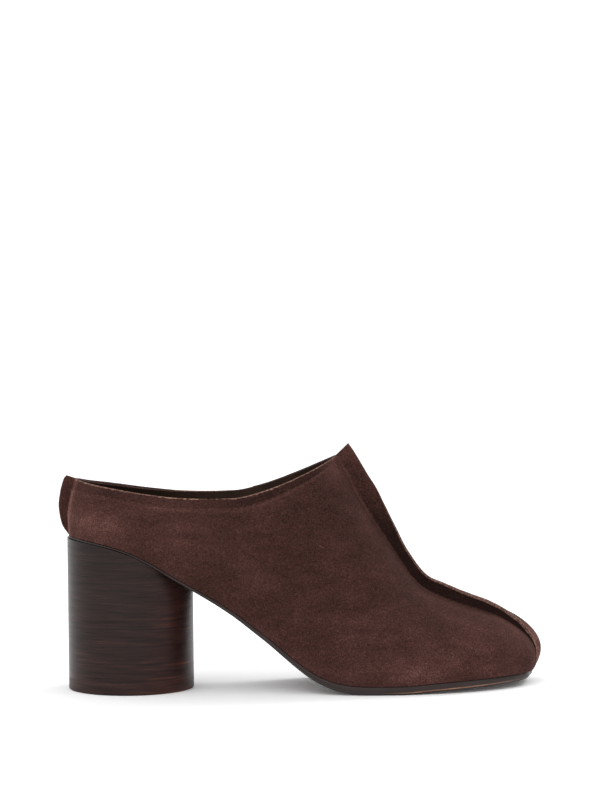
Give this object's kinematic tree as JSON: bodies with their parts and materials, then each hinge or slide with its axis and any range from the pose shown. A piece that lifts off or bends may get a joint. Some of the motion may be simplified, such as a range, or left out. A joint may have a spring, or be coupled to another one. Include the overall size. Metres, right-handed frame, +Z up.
{
  "type": "high heel mule pump",
  "caption": "Women's slip-on mule pump with a low back, raised seams over the instep and up the back, a rounded toe and a tall round stacked heel; empty, standing on its sole.",
  "frame": {"origin": "centre of the heel's round tread, on the floor", "axes": "+X from the heel to the toe, +Y to the inner side of the foot, +Z up"},
  "size_m": [0.2362, 0.0772, 0.1189],
  "materials": {
    "brown_suede": "matt napped suede",
    "dark_lining_leather": "dull smooth leather",
    "painted_sole_leather": "painted edge, satin",
    "stacked_leather": "waxed stacked lifts, satin",
    "top_piece_rubber": "matt rubber"
  },
  "bodies": {
    "root": {"upper": "brown_suede", "insole": "dark_lining_leather", "outsole": "painted_sole_leather", "heel": "stacked_leather", "top_piece": "top_piece_rubber"}
  },
  "joints": []
}
